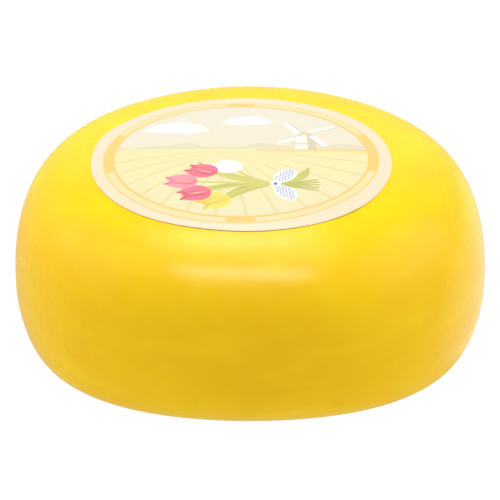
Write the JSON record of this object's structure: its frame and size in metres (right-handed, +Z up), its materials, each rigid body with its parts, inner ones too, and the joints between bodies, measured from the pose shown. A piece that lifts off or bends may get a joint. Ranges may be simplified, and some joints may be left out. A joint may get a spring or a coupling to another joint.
{
  "type": "gouda cheese wheel",
  "caption": "Whole young gouda cheese: a low round wheel with wide soft shoulders in a yellow wax coat, with a round printed label on its top.",
  "frame": {"origin": "centre of the flat base that the wheel stands on", "axes": "+Z up through the middle of the wheel; -Y is the front, from which the label is seen upright"},
  "size_m": [0.248, 0.248, 0.0994],
  "materials": {
    "wax_coat": "smooth food wax coat, satin to semi-gloss, clear warm yellow",
    "printed_label": "thin printed paper, satin, cream rim, amber band and a pale middle"
  },
  "bodies": {
    "root": {"wheel": "wax_coat", "label": "printed_label"}
  },
  "joints": []
}
